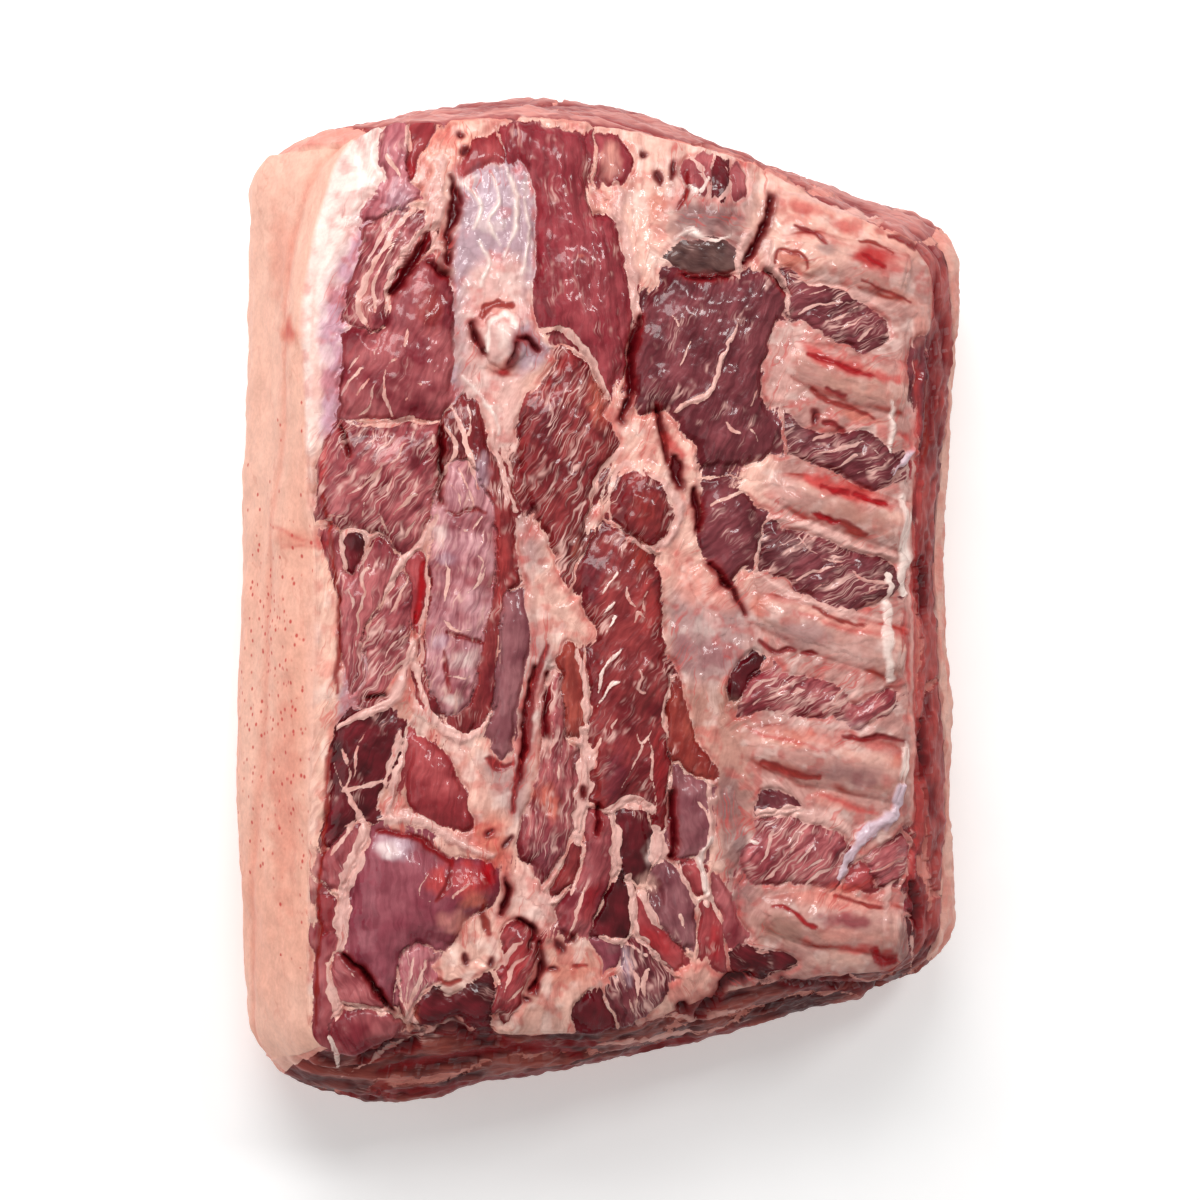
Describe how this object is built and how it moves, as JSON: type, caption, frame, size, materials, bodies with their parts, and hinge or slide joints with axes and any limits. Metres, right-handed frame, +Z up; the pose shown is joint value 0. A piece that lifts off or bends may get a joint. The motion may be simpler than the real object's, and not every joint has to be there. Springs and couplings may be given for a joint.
{
  "type": "bone-in pork loin",
  "caption": "Raw bone-in pork loin lying on its rind: a block of lean meat with ribs across one side of its upper face and a layer of fat under it and up its long side.",
  "frame": {"origin": "middle of the bounding box, on the surface under the rind", "axes": "+X across the loin to the sawn ribs, +Y along the loin, +Z up out of the bone face"},
  "size_m": [0.2095, 0.2837, 0.084],
  "materials": {
    "lean": "wet satin",
    "fat": "satin",
    "bone": "satin, under a thin skin",
    "cartilage": "satin"
  },
  "bodies": {
    "root": {"loin_meat": "lean", "fat_and_rind": "fat", "rib_1": "bone", "rib_2": "bone", "rib_3": "bone", "rib_4": "bone", "rib_5": "bone", "rib_6": "bone", "chine_bone": "bone", "feather_bone": "bone", "blade_cartilage": "cartilage"}
  },
  "joints": []
}
